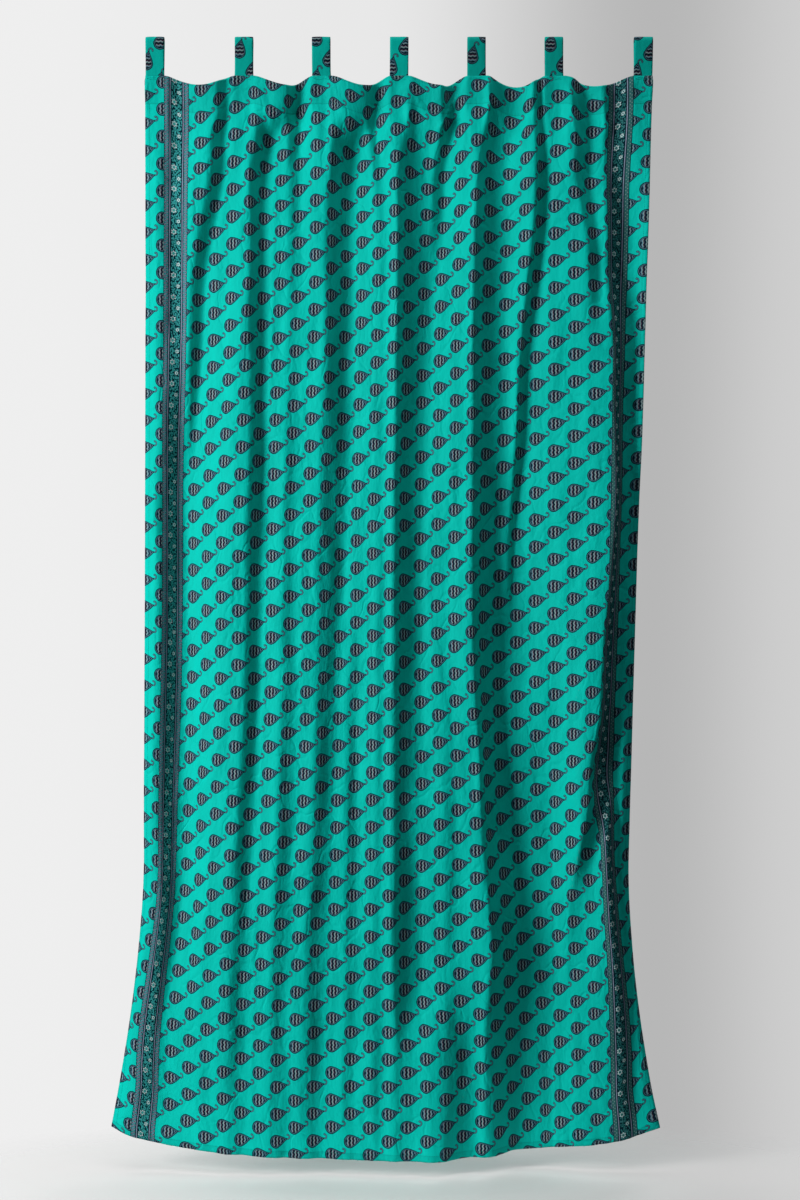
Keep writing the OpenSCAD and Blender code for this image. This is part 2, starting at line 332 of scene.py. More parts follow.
class Hang:
    """The shape of the printed face of the hung cloth, as a grid of points over u and v."""

    COLUMNS = 241
    # Rows are closer together in the heading and near the hem.
    TOP_ROWS, MIDDLE_ROWS, HEM_ROWS = 29, 141, 13
    HEADING_END, HEM_START = 0.12, 0.06
    PROFILE = 81
    ROUNDING = 3.0 * MM

    def __init__(self, cloth):
        self.cloth = cloth
        self.us = np.linspace(0.0, cloth.width, self.COLUMNS)
        top, bottom = self.HEADING_END, cloth.length - self.HEM_START
        self.vs = np.concatenate(
            [
                np.linspace(0.0, top, self.TOP_ROWS)[:-1],
                np.linspace(top, bottom, self.MIDDLE_ROWS),
                np.linspace(bottom, cloth.length, self.HEM_ROWS)[1:],
            ]
        )
        self.tab_us = TAB_WIDTH / 2 + np.arange(TABS) * (cloth.width - TAB_WIDTH) / (TABS - 1)
        self.flare_from = 0.74 * cloth.length
        self.points = np.array([self.row(v) for v in self.vs])
        self.points[:, :, 1] += self.wrinkles()
        self.points[:, :, 1] = self.kept_in(self.points[:, :, 1] + FACE_Y)
        self.normals = self.normals_of(self.points)

    @staticmethod
    def kept_in(y):
        """Eases the deepest folds off, so that the cloth stays within its depth."""
        front, back = DEPTH_LIMITS
        ease = 0.012
        over = y - (back - ease)
        y = np.where(over > 0, back - ease + ease * np.tanh(over / ease), y)
        under = front + ease - y
        return np.where(under > 0, front + ease - ease * np.tanh(under / ease), y)

    def spread(self, v):
        below = max(0.0, (v - self.flare_from) / (self.cloth.length - self.flare_from))
        return self.cloth.flare * below**1.6

    def left_edge(self, v):
        return TAB_X[0] - TAB_WIDTH / 2 - 0.008 * v / self.flare_from - self.spread(v)

    def right_edge(self, v):
        drawn_in = 0.044 * min(1.3, v / self.flare_from)
        return TAB_X[-1] + TAB_WIDTH / 2 - drawn_in + 1.2 * self.spread(v)

    def bay(self, k, v):
        """The cross-section of bay k at height v: x and y."""
        x0 = through(TAB_LINES[k], v)
        x1 = through(TAB_LINES[k + 1], v)
        y0 = through(TAB_DEPTHS[k], v)
        y1 = through(TAB_DEPTHS[k + 1], v)
        share = np.linspace(0.0, 1.0, self.PROFILE)
        flat = TAB_WIDTH / 2 / (x1 - x0) * (1 - float(smooth((v - 0.02) / 0.20)))
        inner = np.clip((share - flat) / (1 - 2 * flat), 0.0, 1.0)
        shape = np.zeros_like(share)
        for kind, stops in FOLDS[k]:
            start, end, weight = (through([(s[0], s[part]) for s in stops], v) for part in (1, 2, 3))
            stepped = np.clip((inner - start) / (end - start), 0.0, 1.0)
            stepped = 1 - (1 - stepped) ** 1.8 if kind == "crisp" else smooth(stepped)
            shape += weight * (stepped - inner)
        x = x0 + (x1 - x0) * share
        line = y0 + (y1 - y0) * share
        spare = self.tab_us[k + 1] - self.tab_us[k] - (x1 - x0)
        wanted = (x1 - x0) + spare * through(TAKE_UP[k], v) * self.cloth.fullness
        # Halving finds how deep the folds are when the line has the length that is wanted.
        low, high = 0.0, 0.4
        for _ in range(24):
            depth = (low + high) / 2
            length = run_along(x, line + depth * shape)[-1]
            low, high = (depth, high) if length < wanted else (low, depth)
        return x, line + depth * shape

    def row(self, v):
        """Points across the cloth at height v, evenly spaced in u."""
        left_depth = through(TAB_DEPTHS[0], v)
        edge_turn = 0.004 + 0.5 * left_depth
        xs, us = [self.left_edge(v)], [0.0]
        ys = [left_depth + edge_turn * float(smooth(v / 0.3))]
        for k in range(TABS - 1):
            x, y = self.bay(k, v)
            run = run_along(x, y)
            run *= (self.tab_us[k + 1] - self.tab_us[k]) / run[-1]
            first = 0 if k == 0 else 1
            xs += list(x[first:])
            ys += list(y[first:])
            us += list(self.tab_us[k] + run[first:])
        xs.append(self.right_edge(v))
        ys.append(through(TAB_DEPTHS[-1], v) + through(RIGHT_TURN, v))
        us.append(self.cloth.width)
        fine = np.linspace(0.0, self.cloth.width, 4 * self.COLUMNS - 3)
        x = np.interp(fine, us, xs)
        y = np.interp(fine, us, ys)
        x, y = self.rounded(x, fine), self.rounded(y, fine)
        x, y = x[::4], y[::4]
        side = 2 * self.us / self.cloth.width - 1
        down = v / self.cloth.length
        nearest = np.abs(self.us[:, None] - self.tab_us[None, :]).min(axis=1)
        half_bay = (self.tab_us[1] - self.tab_us[0]) / 2
        across = np.clip((nearest - TAB_WIDTH / 2) / (half_bay - TAB_WIDTH / 2), 0.0, 1.0)
        hollow = np.sin(across * math.pi / 2) ** 1.5
        sag = self.cloth.scallop * hollow * (1 - float(smooth(v / 0.42)))
        corner = 0.6 * side**2 + 0.4 * side**10
        rise = self.cloth.corner_rise * corner * down**1.5
        set_back = self.cloth.corner_back * np.abs(side) ** 6 * float(smooth(down * 2.5 - 1.5))
        z = TOP_EDGE - v - sag + rise
        lean = 0.007 * hollow * (1 - float(smooth(v / 0.07)))
        return np.stack([x, y + set_back - lean, z], axis=1)

    def rounded(self, values, at):
        """Rounds the folds by averaging each point with its neighbours."""
        step = at[1] - at[0]
        reach = int(3 * self.ROUNDING / step)
        weights = np.exp(-0.5 * (np.arange(-reach, reach + 1) * step / self.ROUNDING) ** 2)
        weights /= weights.sum()
        # The ends carry on straight, so that the edges stay where they are.
        before = 2 * values[0] - values[reach:0:-1]
        after = 2 * values[-1] - values[-2 : -reach - 2 : -1]
        return np.convolve(np.concatenate([before, values, after]), weights, mode="valid")

    def wrinkles(self):
        """How far the small wrinkles, pressed lines and creases move each point back."""
        u, v = np.meshgrid(self.us, self.vs)
        out = np.zeros_like(u)
        top = smooth((v - 0.02) / 0.1)
        for wide, tall, deep, seed in WRINKLES:
            field = [noise.noise((a / wide, b / tall, seed)) for a, b in zip(u.ravel(), v.ravel())]
            out += deep * MM * np.array(field).reshape(u.shape)
        out *= top
        # Puckers along the bottom hem.
        near_hem = np.exp(-((self.cloth.length - v) / 0.022))
        pucker = [noise.noise((a / 0.016, 0.0, 21.0)) for a in self.us]
        out += 1.6 * MM * near_hem * np.array(pucker)[None, :]
        for at in PRESSED_ACROSS:
            out -= 0.8 * MM * np.exp(-np.abs(v - at) / 0.012)
        for at, height in PRESSED_DOWN:
            out -= height * np.exp(-np.abs(u - at) / 0.012) * smooth((v - 0.10) / 0.15)
        fans = [
            ((at + side * TAB_WIDTH / 2, 0.008), (at + side * (TAB_WIDTH / 2 + reach), drop), height)
            for at in self.tab_us
            for side in (-1, 1)
            for reach, drop, height in FAN
        ]
        for (u0, v0), (u1, v1), height in PULLS + fans:
            run = np.array([u1 - u0, v1 - v0])
            size = math.hypot(*run)
            along = ((u - u0) * run[0] + (v - v0) * run[1]) / size**2
            off = ((u - u0) * run[1] - (v - v0) * run[0]) / size
            fade = smooth(along * 3 + 0.5) * smooth(3.5 - along * 3)
            out -= height * fade * np.exp(-np.abs(off) / 0.008)
        return out * self.cloth.wrinkles

    @staticmethod
    def normals_of(points):
        """Unit normals that look away from the printed face."""
        across = np.gradient(points, axis=1)
        down = np.gradient(points, axis=0)
        normal = np.cross(down, across)
        return normal / np.linalg.norm(normal, axis=2, keepdims=True)

    def at(self, u, v, out=0.0):
        """The point at (u, v), moved out from the printed face. u and v may be arrays."""
        u = np.clip(np.asarray(u, float), 0.0, self.cloth.width)
        v = np.clip(np.asarray(v, float), 0.0, self.cloth.length)
        i = np.clip(np.searchsorted(self.us, u, side="right") - 1, 0, self.COLUMNS - 2)
        j = np.clip(np.searchsorted(self.vs, v, side="right") - 1, 0, len(self.vs) - 2)
        s = ((u - self.us[i]) / (self.us[i + 1] - self.us[i]))[..., None]
        t = ((v - self.vs[j]) / (self.vs[j + 1] - self.vs[j]))[..., None]

        def blend(grid):
            upper = grid[j, i] * (1 - s) + grid[j, i + 1] * s
            lower = grid[j + 1, i] * (1 - s) + grid[j + 1, i + 1] * s
            return upper * (1 - t) + lower * t

        return blend(self.points) + blend(self.normals) * np.asarray(out, float)[..., None]


def hang():
    """The hung cloth, worked out once."""
    if not hasattr(hang, "made"):
        hang.made = Hang(bpy.context.scene.curtain_cloth)
    return hang.made


# ---------------------------------------------------------------------------
# Meshes


def link(obj):
    bpy.context.scene.collection.objects.link(obj)
    return obj


def cloth_object(name, points, uv, faces, materials, slots=None):
    """A smooth mesh, with each point's place on the flat cloth as its UV map."""
    mesh = bpy.data.meshes.new(name)
    mesh.from_pydata(points.reshape(-1, 3).tolist(), [], faces)
    layer = mesh.uv_layers.new(name="cloth")
    corner = np.empty(len(mesh.loops), dtype=np.int32)
    mesh.loops.foreach_get("vertex_index", corner)
    layer.data.foreach_set("uv", uv.reshape(-1, 2)[corner].astype(np.float32).ravel())
    for material in materials:
        mesh.materials.append(material)
    if slots is not None:
        mesh.polygons.foreach_set("material_index", slots)
    mesh.polygons.foreach_set("use_smooth", np.ones(len(mesh.polygons), dtype=bool))
    mesh.update()
    return link(bpy.data.objects.new(name, mesh))


def sheet_piece(name, points, uv, thickness, face, reverse):
    """A sheet of cloth: rows of points from top to bottom, with a face, a reverse and edges."""
    rows, columns = points.shape[:2]
    count = rows * columns
    index = np.arange(count).reshape(rows, columns)
    a, b = index[:-1, :-1].ravel(), index[1:, :-1].ravel()
    c, d = index[1:, 1:].ravel(), index[:-1, 1:].ravel()
    back = points - Hang.normals_of(points) * thickness
    faces = [tuple(q) for q in np.stack([a, b, c, d], axis=1)]
    faces += [tuple(q) for q in np.stack([d, c, b, a], axis=1) + count]
    rim = np.concatenate([index[0, :], index[1:, -1], index[-1, -2::-1], index[-2:0:-1, 0]])
    following = np.roll(rim, -1)
    faces += [tuple(q) for q in np.stack([rim, following, following + count, rim + count], axis=1)]
    slots = np.ones(len(faces), dtype=np.int32)
    slots[: len(a)] = 0
    return cloth_object(name, np.stack([points, back]), np.stack([uv, uv]), faces, [face, reverse], slots)


def cloth_strip(name, us, vs, back, thickness, face, reverse):
    """A strip of cloth that lies at back behind the printed face, over us by vs."""
    form = hang()
    u, v = np.meshgrid(us, vs)
    points = form.at(u, v, -np.broadcast_to(back, u.shape))
    uv = np.stack([u, bpy.context.scene.curtain_cloth.length - v], axis=2)
    return sheet_piece(name, points, uv, thickness, face, reverse)


def between(values, low, high):
    """The values that lie between low and high, with both of these."""
    return np.concatenate([[low], values[(values > low + 1e-4) & (values < high - 1e-4)], [high]])


# ---------------------------------------------------------------------------
# Materials


def maths(operation, flipped=False):
    """A method that adds a Math node, with the operands the other way round if flipped."""

    def method(self, *others):
        values = (*others, self) if flipped else (self, *others)
        return self.tree.node("ShaderNodeMath", {"operation": operation}, *values).out(0)

    return method


class Wire:
    """A socket of a node tree. Arithmetic on it adds Math nodes."""

    def __init__(self, tree, socket):
        self.tree = tree
        self.socket = socket

    __add__ = __radd__ = maths("ADD")
    __mul__ = __rmul__ = maths("MULTIPLY")
    __sub__ = maths("SUBTRACT")
    __rsub__ = maths("SUBTRACT", flipped=True)
    __truediv__ = maths("DIVIDE")
    __rtruediv__ = maths("DIVIDE", flipped=True)
    __pow__ = maths("POWER")
    __abs__ = maths("ABSOLUTE")
    less = maths("MINIMUM")
    more = maths("MAXIMUM")
    floor = maths("FLOOR")
    sine = maths("SINE")
    cosine = maths("COSINE")
    root = maths("SQRT")
    angle_to = maths("ARCTAN2")
    remainder = maths("FLOORED_MODULO")
    bounced = maths("PINGPONG")

    def within(self, size):
        """The remainder in each repeat of that size, measured from its middle."""
        return self.remainder(size) - size / 2

    def zigzag(self, period, height):
        return self.bounced(period / 2) * (2 * height / period) - height / 2

    def below(self, edge, soft):
        """1 where the value is below edge and 0 above it, with a soft step between."""
        half = soft / 2
        ends = {1: edge - half, 2: edge + half, 3: 1.0, 4: 0.0}
        return self.tree.node("ShaderNodeMapRange", {"clamp": True}, self, sockets=ends).out(0)


class Made:
    """A node that was made, and its outputs."""

    def __init__(self, tree, node):
        self.tree = tree
        self.node = node

    def out(self, which):
        return Wire(self.tree, self.node.outputs[which])


class Nodes:
    """Builds a node tree."""

    def __init__(self, tree):
        self.tree = tree
        tree.nodes.clear()

    def node(self, kind, settings=None, *values, sockets=None):
        """A node, with its settings first and then the values or links of its sockets."""
        made = self.tree.nodes.new(kind)
        for name, value in (settings or {}).items():
            if name == "stops":
                self.set_stops(made.color_ramp, *value)
            else:
                setattr(made, name, value)
        for key, value in [*enumerate(values), *(sockets or {}).items()]:
            if isinstance(value, Wire):
                self.tree.links.new(value.socket, made.inputs[key])
            else:
                made.inputs[key].default_value = value
        return Made(self, made)

    @staticmethod
    def set_stops(ramp, stops, interpolation):
        ramp.interpolation = interpolation
        while len(ramp.elements) < len(stops):
            ramp.elements.new(1.0)
        for element, (position, colour) in zip(ramp.elements, stops):
            element.position = position
            element.color = colour

    def ramp(self, value, stops, interpolation="LINEAR"):
        return self.node("ShaderNodeValToRGB", {"stops": (stops, interpolation)}, value).out(0)

    def part(self, vector, which):
        """The x, y or z of a vector."""
        return self.node("ShaderNodeSeparateXYZ", None, vector).out("XYZ".index(which))


class Shader(Nodes):
    """Builds one material."""

    def __init__(self, name):
        self.material = bpy.data.materials.new(name)
        self.material.use_nodes = True
        super().__init__(self.material.node_tree)

    def mix(self, share, first, second, blend="MIX"):
        """first and second colours mixed, all of the second where share is 1."""
        settings = {"data_type": "RGBA", "blend_type": blend}
        return self.node("ShaderNodeMix", settings, sockets={0: share, 6: first, 7: second}).out(2)

    def multiply(self, colour, other):
        return self.mix(1.0, colour, other, "MULTIPLY")

    def vector(self, x, y, z=0.0):
        return self.node("ShaderNodeCombineXYZ", None, x, y, z).out(0)

    def noise(self, where, scale, detail=2.0, roughness=0.5):
        sockets = {"Vector": where, "Scale": scale, "Detail": detail, "Roughness": roughness}
        return self.node("ShaderNodeTexNoise", {"noise_dimensions": "3D"}, sockets=sockets).out(0)

    def cloth_place(self):
        """u and w in millimetres: across the flat cloth, and up it."""
        uv = self.node("ShaderNodeUVMap", {"uv_map": "cloth"}).out(0)
        return self.part(uv, "X") * 1000.0, self.part(uv, "Y") * 1000.0

    def finish(self, colour, roughness, height, bump, sheen=0.0, alpha=1.0):
        """The material, with a bump from a height in millimetres."""
        depths = {"Strength": bump, "Distance": MM, "Height": height}
        sockets = {
            "Base Color": colour,
            "Roughness": roughness,
            "Normal": self.node("ShaderNodeBump", None, sockets=depths).out(0),
            "Sheen Weight": sheen,
            "Alpha": alpha,
            "Sheen Tint": (0.05, 0.75, 0.65, 1.0),
            "Specular IOR Level": 0.05,
        }
        shader = self.node("ShaderNodeBsdfPrincipled", None, sockets=sockets)
        self.node("ShaderNodeOutputMaterial", None, shader.out(0))
        return self.material


# Sizes in the print, in millimetres: the width that the stripes inside a motif take up, the motif's
# outline, and the repeats of the border's beads and of its vine.
STRIPED = 30.0
OUTLINE = 4.2
BEADS = 7.4
VINE = 44.0

# The colour that the reverse fades towards, and the soft shine of the cloth.
FADED = (0.07, 0.46, 0.40, 1.0)
CLOTH_SHEEN = 0.03


def grey(value):
    return (value, value, value, 1.0)


def ink(name):
    """One of the colours of the print."""
    return tuple(getattr(bpy.context.scene.curtain_print, name))


def stripes():
    """Ramp stops for the stripes inside a motif, over STRIPED millimetres."""
    starts = [
        (-15.0, "navy"), (-11.6, "mauve"), (-9.8, "cream"), (-8.4, "maroon"), (-6.8, "navy"),
        (-3.2, "cream"), (-0.6, "maroon"), (1.0, "navy"), (4.2, "cream"), (5.4, "mauve"),
        (7.2, "navy"), (10.2, "mauve"), (12.4, "navy"),
    ]
    return [(at / STRIPED + 0.5, ink(name)) for at, name in starts]


def teardrop(a, b):
    """Distance in millimetres from the outline of a motif's body, below 0 inside it."""
    head, tip = (-5.4, -1.2), (18.6, 3.6)
    head_r, tip_r = 13.8, 0.9
    run = (tip[0] - head[0], tip[1] - head[1])
    size = run[0] ** 2 + run[1] ** 2
    da, db = a - head[0], b - head[1]
    along = ((da * run[0] + db * run[1]) / size).more(0.0).less(1.0)
    off_a, off_b = da - along * run[0], db - along * run[1]
    # The head is a little pointed towards the left.
    point = (-1.0 * da).more(0.0) * 0.08
    return (off_a * off_a + off_b * off_b).root() - (head_r + (tip_r - head_r) * along**1.45) + point


def curl(a, b):
    """Distance in millimetres from the curl at a motif's tip."""
    ring_a, ring_b = a - 20.2, b - 8.0
    ring = abs((ring_a * ring_a + ring_b * ring_b).root() - 4.4) - 1.5
    # The curl is open on its left side.
    ring = ring.more((ring_b * 0.5 - ring_a - 1.0) * 0.9)
    knob_a, knob_b = a - 20.4, b - 12.0
    return ring.less((knob_a * knob_a + knob_b * knob_b).root() - 2.1)


def printed(s, u, w):
    """The colour of the print at (u, w)."""
    settings = bpy.context.scene.curtain_print
    navy, mauve, ground = ink("navy"), ink("mauve"), ink("ground")
    across = settings.repeat_across * 1000
    down = settings.repeat_down * 1000
    first = 120 - across / 2
    wobble = s.noise(s.vector(u, w), 0.035, 2.0) * 1.6 - 0.8
    column = ((u - first) / across).floor()
    a = (u - first).within(across) + wobble * 0.4
    step = down * settings.drop
    b = (w + column * step).within(down)
    body = teardrop(a, b)
    # The curl of the motif to the left reaches into this column.
    tail = curl(a, b).less(curl(a + across, (w + (column - 1.0) * step).within(down)))
    inside = a + b.zigzag(8.0, 1.8)
    filling = s.ramp(inside / STRIPED + 0.5, stripes(), "CONSTANT")
    rings = [(0.0, navy), (0.26, navy), (0.32, mauve), (0.50, mauve), (0.56, navy), (1.0, navy)]
    ring = s.ramp((body + OUTLINE) / OUTLINE, rings)
    motif = s.mix(body.below(-4.0, 0.4), ring, filling)
    motif = s.mix(body.below(0.0, 0.4), s.mix(tail.below(-0.8, 0.5), navy, mauve), motif)
    inked = body.less(tail).below(0.1, 0.6)

    dye = s.noise(s.vector(u, w * 0.4), 0.02, 3.0)
    dye = s.ramp(dye, [(0.3, grey(0.90)), (0.7, grey(1.0))])
    field = s.mix(inked, s.multiply(ground, dye), motif)

    width = settings.border_width * 1000
    inset = settings.border_inset * 1000
    left = u - inset
    right = u - (bpy.context.scene.curtain_cloth.width * 1000 - inset - width)
    field = s.mix(in_band(left, width), field, border(s, left, w, width, beaded=True))
    return s.mix(in_band(right, width), field, border(s, right, w, width, beaded=False))


def in_band(t, width):
    """1 from t = 0 to t = width."""
    return abs(t - width / 2).below(width / 2, 0.6)


def border(s, t, w, width, beaded):
    """The colour of a border: edge stripes beside a vine of flowers on navy."""
    navy = ink("navy")
    leaf = (0.03, 0.38, 0.37, 1.0) if beaded else (0.015, 0.17, 0.16, 1.0)
    stripe = (0.03, 0.24, 0.26, 1.0) if beaded else (0.035, 0.15, 0.15, 1.0)
    petal = (0.50, 0.72, 0.74, 1.0)
    lilac = (0.26, 0.31, 0.43, 1.0)
    edge = width / 2 - abs(t - width / 2)
    plan = [
        (0.00, navy), (0.050, navy), (0.060, stripe), (0.36, stripe), (0.37, navy), (0.44, navy),
        (0.45, lilac), (0.51, lilac), (0.52, navy), (1.0, navy),
    ]
    base = s.ramp(edge / (width / 2), plan)
    # Beads or flecks in the edge stripes.
    bead_w = (w + edge.below(5.2, 0.1) * (BEADS / 2)).within(BEADS)
    bead_t = abs(edge - 5.2) - 1.9
    bead = (bead_t * bead_t + bead_w * bead_w).root()
    if beaded:
        base = s.mix(bead.below(2.0, 0.5), base, lilac)
        base = s.mix(bead.below(1.2, 0.4), base, ink("maroon"))
    else:
        base = s.mix(bead.below(0.9, 0.5), base, ink("cream"))
    # The stem, and the leaves along it.
    turn = w * (2 * math.pi / VINE)
    middle_t = t - width / 2
    on_vine = abs(middle_t).below(10.6, 0.5)
    sway = turn.sine() * 5.0
    stem = abs(middle_t - sway).below(0.55, 0.4)
    sockets = {"Vector": s.vector(t * 0.30, w * 0.22), "Scale": 1.0, "Randomness": 0.9}
    flat = {"voronoi_dimensions": "2D", "feature": "F1"}
    cells = s.node("ShaderNodeTexVoronoi", flat, sockets=sockets).out(0)
    base = s.mix(on_vine * cells.below(0.42, 0.10), base, leaf)
    base = s.mix(on_vine * cells.below(0.16, 0.06), base, ink("mauve"))
    base = s.mix(on_vine * stem, base, leaf)
    for start, radius in ((11.0, 7.0), (33.0, 5.2)):
        lean = -5.0 * math.sin(2 * math.pi * start / VINE)
        flower_t = middle_t - lean
        flower_w = (w - start + VINE / 2).within(VINE)
        reach = (flower_t * flower_t + flower_w * flower_w).root()
        lobes = (flower_t.angle_to(flower_w) * 6.0).cosine() * 0.18 + 0.82
        petals = reach / lobes
        base = s.mix(petals.below(radius, 0.6), base, navy)
        base = s.mix(petals.below(radius - 0.9, 0.5), base, petal)
        base = s.mix(petals.below(radius - 3.4, 0.5), base, navy)
        base = s.mix(petals.below(radius - 4.2, 0.4), base, leaf)
    return base


def weave(s, u, w):
    """The relief of a plain weave with uneven threads, in millimetres."""
    warp = (u * (math.pi / 0.8)).sine()
    weft = (w * (math.pi / 0.8)).sine()
    slubs_w = s.noise(s.vector(u * 0.05, w * 1.4), 1.0, 3.0, 0.6)
    slubs_u = s.noise(s.vector(u * 1.4, w * 0.05), 1.0, 3.0, 0.6)
    return warp * weft * 0.05 + slubs_w * 0.10 + slubs_u * 0.10


def creased(s, u, w):
    """The weave, with fine creases left by folding and washing, in millimetres."""
    broad = s.noise(s.vector(u * 0.026, w * 0.010), 1.0, 3.0, 0.6)
    fine = s.noise(s.vector(u * 0.09, w * 0.04), 1.0, 3.0, 0.6)
    folded = abs(s.noise(s.vector(u * 0.011 + 9.0, w * 0.008), 1.0, 2.0, 0.5) - 0.5)
    return weave(s, u, w) + broad * 7.0 + fine * 2.2 - folded.below(0.016, 0.03) * 1.2


def doubled(s, w):
    """Painted shade: grey that darkens the colour over the facing and the bottom hem, where the cloth
    lies in two layers and lets less light through.
    """
    top = bpy.context.scene.curtain_cloth.length * 1000
    facing = (top - w).below(HEADING * 1000, 2.0)
    hem = w.below(bpy.context.scene.curtain_sewing.bottom_hem * 1000, 2.0)
    return s.mix(facing.more(hem), grey(1.0), grey(0.87))


def panel_cloth():
    """The printed face of the curtain."""
    s = Shader("printed cotton")
    u, w = s.cloth_place()
    # The print is darkened by painted shade over the facing and the bottom hem.
    colour = s.multiply(printed(s, u, w), doubled(s, w))
    roughness = s.noise(s.vector(u * 0.5, w * 0.5), 1.0, 2.0) * 0.12 + 0.62
    return s.finish(colour, roughness, creased(s, u, w), 0.6, CLOTH_SHEEN)


def reverse_cloth():
    """The back of the cloth, where the print shows through paler."""
    s = Shader("printed cotton, reverse")
    u, w = s.cloth_place()
    return s.finish(s.mix(0.45, printed(s, u, w), FADED), 0.78, creased(s, u, w), 0.6, CLOTH_SHEEN)


def hem_cloth():
    """The turned-back cloth of the hems and the facing: its printed side shows."""
    s = Shader("printed cotton, turned back")
    u, w = s.cloth_place()
    colour = s.mix(0.12, printed(s, u, w + 19.0), FADED)
    return s.finish(colour, 0.72, creased(s, u, w), 0.6, CLOTH_SHEEN)


def tab_cloth(number):
    """The cloth of a tab, cut across the print, so that its motifs are turned, and darkened by a painted
    shade of its own.
    """
    s = Shader(f"printed cotton, tab {number}")
    u, w = s.cloth_place()
    # Painted shade: each tab's print is darkened by its own amount.
    shade = (0.72, 0.68, 0.70, 0.76, 0.58, 0.60, 0.66)[number - 1]
    along = 300.0 + 17.0 * number
    across = 27.35 * (number % 2) + 4.0 * math.sin(2.0 * number)
    colour = s.multiply(printed(s, w + along, u + across), grey(shade))
    height = weave(s, u, w) + s.noise(s.vector(u * 0.12, w * 0.07), 1.0, 3.0) * 1.4
    return s.finish(colour, 0.68, height, 0.6, CLOTH_SHEEN)


def thread_finish():
    """Twisted sewing thread."""
    s = Shader("sewing thread")
    place = s.node("ShaderNodeTexCoord").out("Object")
    strand = ((s.part(place, "X") + s.part(place, "Z")) * 9000.0).sine()
    tints = [(0.3, (0.0, 0.20, 0.17, 1.0)), (0.7, (0.004, 0.30, 0.25, 1.0))]
    colour = s.ramp(s.noise(place, 60.0, 2.0), tints)
    return s.finish(colour, 0.55, strand * 0.08, 0.5, sheen=0.1)


def shared(make, *args):
    """A material that is made once and used on several pieces."""
    if not hasattr(shared, "made"):
        shared.made = {}
    key = (make.__name__, *args)
    if key not in shared.made:
        shared.made[key] = make(*args)
    return shared.made[key]


# ---------------------------------------------------------------------------
# Seams


def stitch_tree():
    """Geometry Nodes that lay short rounded stitches along a line, and their inputs' identifiers."""
    tree = bpy.data.node_groups.new("row of stitches", "GeometryNodeTree")
    s = Nodes(tree)
    kinds = {"Geometry": "Geometry", "Pitch": "Float", "Length": "Float", "Thread": "Float"}
    kinds |= {"Seed": "Int", "Material": "Material"}
    inputs = {}
    for name, kind in kinds.items():
        socket = tree.interface.new_socket(name, in_out="INPUT", socket_type="NodeSocket" + kind)
        inputs[name] = socket.identifier
    tree.interface.new_socket("Geometry", in_out="OUTPUT", socket_type="NodeSocketGeometry")
    start = s.node("NodeGroupInput")
    curve = s.node("GeometryNodeMeshToCurve", None, start.out("Geometry")).out(0)
    spacing = {"Curve": curve, "Length": start.out("Pitch")}
    points = s.node("GeometryNodeCurveToPoints", {"mode": "LENGTH"}, sockets=spacing)
    round_bead = {"Segments": 6, "Rings": 4, "Radius": 0.5}
    bead = s.node("GeometryNodeMeshUVSphere", sockets=round_bead).out("Mesh")
    limits = {2: 0.9, 3: 1.08, "Seed": start.out("Seed")}
    uneven = s.node("FunctionNodeRandomValue", {"data_type": "FLOAT"}, sockets=limits).out(1)
    thread = start.out("Thread")
    size = s.node("ShaderNodeCombineXYZ", None, thread, thread, uneven * start.out("Length")).out(0)
    places = {
        "Points": points.out("Points"),
        "Instance": bead,
        "Rotation": points.out("Rotation"),
        "Scale": size,
    }
    laid = s.node("GeometryNodeInstanceOnPoints", sockets=places).out(0)
    real = s.node("GeometryNodeRealizeInstances", None, laid).out(0)
    covered = {
        "Geometry": s.node("GeometryNodeSetShadeSmooth", None, real).out(0),
        "Material": start.out("Material"),
    }
    finished = s.node("GeometryNodeSetMaterial", sockets=covered).out(0)
    s.node("NodeGroupOutput", None, finished)
    return tree, inputs


def stitch_row(name, points):
    """A piece of stitches along the points, as a plain mesh."""
    if not hasattr(stitch_row, "tree"):
        stitch_row.tree, stitch_row.inputs = stitch_tree()
    sewing = bpy.context.scene.curtain_sewing
    mesh = bpy.data.meshes.new(name)
    mesh.from_pydata(points.tolist(), [(n, n + 1) for n in range(len(points) - 1)], [])
    line = link(bpy.data.objects.new(name + "_line", mesh))
    modifier = line.modifiers.new("stitches", "NODES")
    modifier.node_group = stitch_row.tree
    values = {
        "Pitch": sewing.stitch_pitch,
        "Length": sewing.stitch_length,
        "Thread": sewing.thread,
        "Seed": sewing.seed,
        "Material": shared(thread_finish),
    }
    for socket, value in values.items():
        modifier[stitch_row.inputs[socket]] = value
    evaluated = line.evaluated_get(bpy.context.evaluated_depsgraph_get())
    made = bpy.data.meshes.new_from_object(evaluated)
    line.modifiers.remove(modifier)
    bpy.data.objects.remove(line)
    made.name = name
    if not made.polygons:
        raise RuntimeError(f"{name} has no stitches")
    return link(bpy.data.objects.new(name, made))


def gathers(piece):
    """The piece hangs with the cloth: it follows the curtain's body, with a mesh of its own."""
    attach(piece, "curtain")
    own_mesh(piece)


# ---------------------------------------------------------------------------
# Pieces


class CURTAIN_OT_panel(bpy.types.Operator):
    """Hang the printed cloth"""

    bl_idname = "curtain.panel"
    bl_label = "Panel"

    def execute(self, context):
        cloth = context.scene.curtain_cloth
        form = hang()
        u, v = np.meshgrid(form.us, form.vs)
        uv = np.stack([u, cloth.length - v], axis=2)
        piece = sheet_piece(
            "panel_cloth", form.points, uv, cloth.thickness, shared(panel_cloth), shared(reverse_cloth)
        )
        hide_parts("panel")
        gathers(piece)
        return {"FINISHED"}


